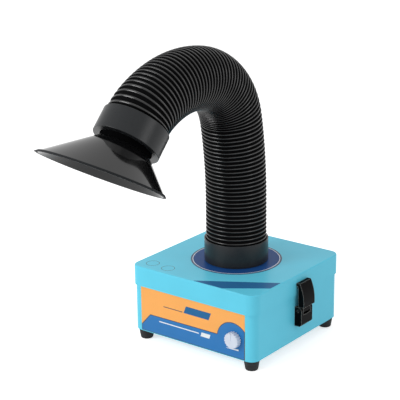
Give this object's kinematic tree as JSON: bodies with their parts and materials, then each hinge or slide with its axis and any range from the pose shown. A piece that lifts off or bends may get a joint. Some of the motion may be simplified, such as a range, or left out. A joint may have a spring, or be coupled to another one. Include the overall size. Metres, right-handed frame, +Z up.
{
  "type": "fume extractor",
  "caption": "Bench-top fume extractor: square filter box with a speed knob and side latches, a ribbed hose arching from its lid and a swivelling conical hood.",
  "frame": {"origin": "on the surface under the feet, below the middle of the box and the axis of the hose's riser", "axes": "+Z up, -Y to the front with the knob, +X to the right side seen from the front"},
  "size_m": [0.232, 0.4556, 0.4204],
  "materials": {
    "case_cyan": "moulded plastic, satin gloss",
    "label_print": "printed film",
    "black_plastic": "smooth black moulding",
    "hose_plastic": "black corrugated hose",
    "foot_rubber": "matte rubber",
    "knob_white": "white moulding",
    "latch_plastic": "black moulding",
    "steel": "zinc plated",
    "foam": "open foam",
    "filter_paper": "pleated filter paper",
    "frame_grey": "grey moulding",
    "motor_metal": "cast",
    "board_green": "laminate"
  },
  "bodies": {
    "housing": {"lower_case": "case_cyan", "lid": "case_cyan", "lid_seal": "foam", "front_label": "label_print", "inlet_label": "label_print", "corner_label": "label_print", "foot_front_left": "foot_rubber", "foot_front_right": "foot_rubber", "foot_rear_right": "foot_rubber", "foot_rear_left": "foot_rubber", "foot_screws": "steel", "foot_nuts": "steel", "inlet_spigot": "black_plastic", "spigot_screws": "steel", "speed_pot": "steel", "pot_nut": "steel", "power_jack": "latch_plastic", "jack_nut": "steel", "latch_base_right": "latch_plastic", "latch_pin_right": "steel", "latch_keeper_right": "latch_plastic", "latch_base_left": "latch_plastic", "latch_pin_left": "steel", "latch_keeper_left": "latch_plastic", "latch_screws": "steel", "filter_frame": "frame_grey", "carbon_pad": "foam", "pleated_filter": "filter_paper", "prefilter_pad": "foam", "fan_deck": "frame_grey", "deck_posts": "frame_grey", "deck_screws": "steel", "fan_motor": "motor_metal", "motor_screws": "steel", "motor_bearings": "steel", "board_posts": "frame_grey", "speed_board": "board_green", "board_parts": "latch_plastic"},
    "hose_base": {"hose_cuff_base": "black_plastic", "hose": "hose_plastic"},
    "hose_end": {"hose_cuff_end": "black_plastic"},
    "hood": {"hood": "black_plastic"},
    "knob": {"speed_knob": "knob_white", "pot_shaft": "steel"},
    "latch_right": {"latch_arm_right": "latch_plastic"},
    "latch_left": {"latch_arm_left": "latch_plastic"},
    "fan_rotor": {"impeller": "frame_grey", "motor_shaft": "steel"}
  },
  "joints": [
    {"name": "hose_swivel", "type": "hinge", "parent": "housing", "child": "hose_base", "pos_m": [0, 0, 0.1092], "axis": [0, 0, 1], "continuous": true},
    {"name": "hose_bend", "type": "hinge", "parent": "hose_base", "child": "hose_end", "pos_m": [0, -0.086, 0.362], "axis": [1, 0, 0], "range_deg": [-35, 25], "deforming": ["hose"]},
    {"name": "hood_swivel", "type": "hinge", "parent": "hose_end", "child": "hood", "pos_m": [0, -0.22457, 0.32158], "axis": [0, -0.6909, -0.723], "continuous": true},
    {"name": "knob_turn", "type": "hinge", "parent": "housing", "child": "knob", "pos_m": [0.0702, -0.101, 0.0422], "axis": [0, 1, 0], "range_deg": [0, 270]},
    {"name": "latch_right_swing", "type": "hinge", "parent": "housing", "child": "latch_right", "pos_m": [0.107, 0.006, 0.0585], "axis": [0, 1, 0], "range_deg": [0, 90]},
    {"name": "latch_left_swing", "type": "hinge", "parent": "housing", "child": "latch_left", "pos_m": [-0.107, 0.006, 0.0585], "axis": [0, -1, 0], "range_deg": [0, 90]},
    {"name": "fan_spin", "type": "hinge", "parent": "housing", "child": "fan_rotor", "pos_m": [0, 0, 0.015], "axis": [0, 0, 1], "continuous": true}
  ]
}
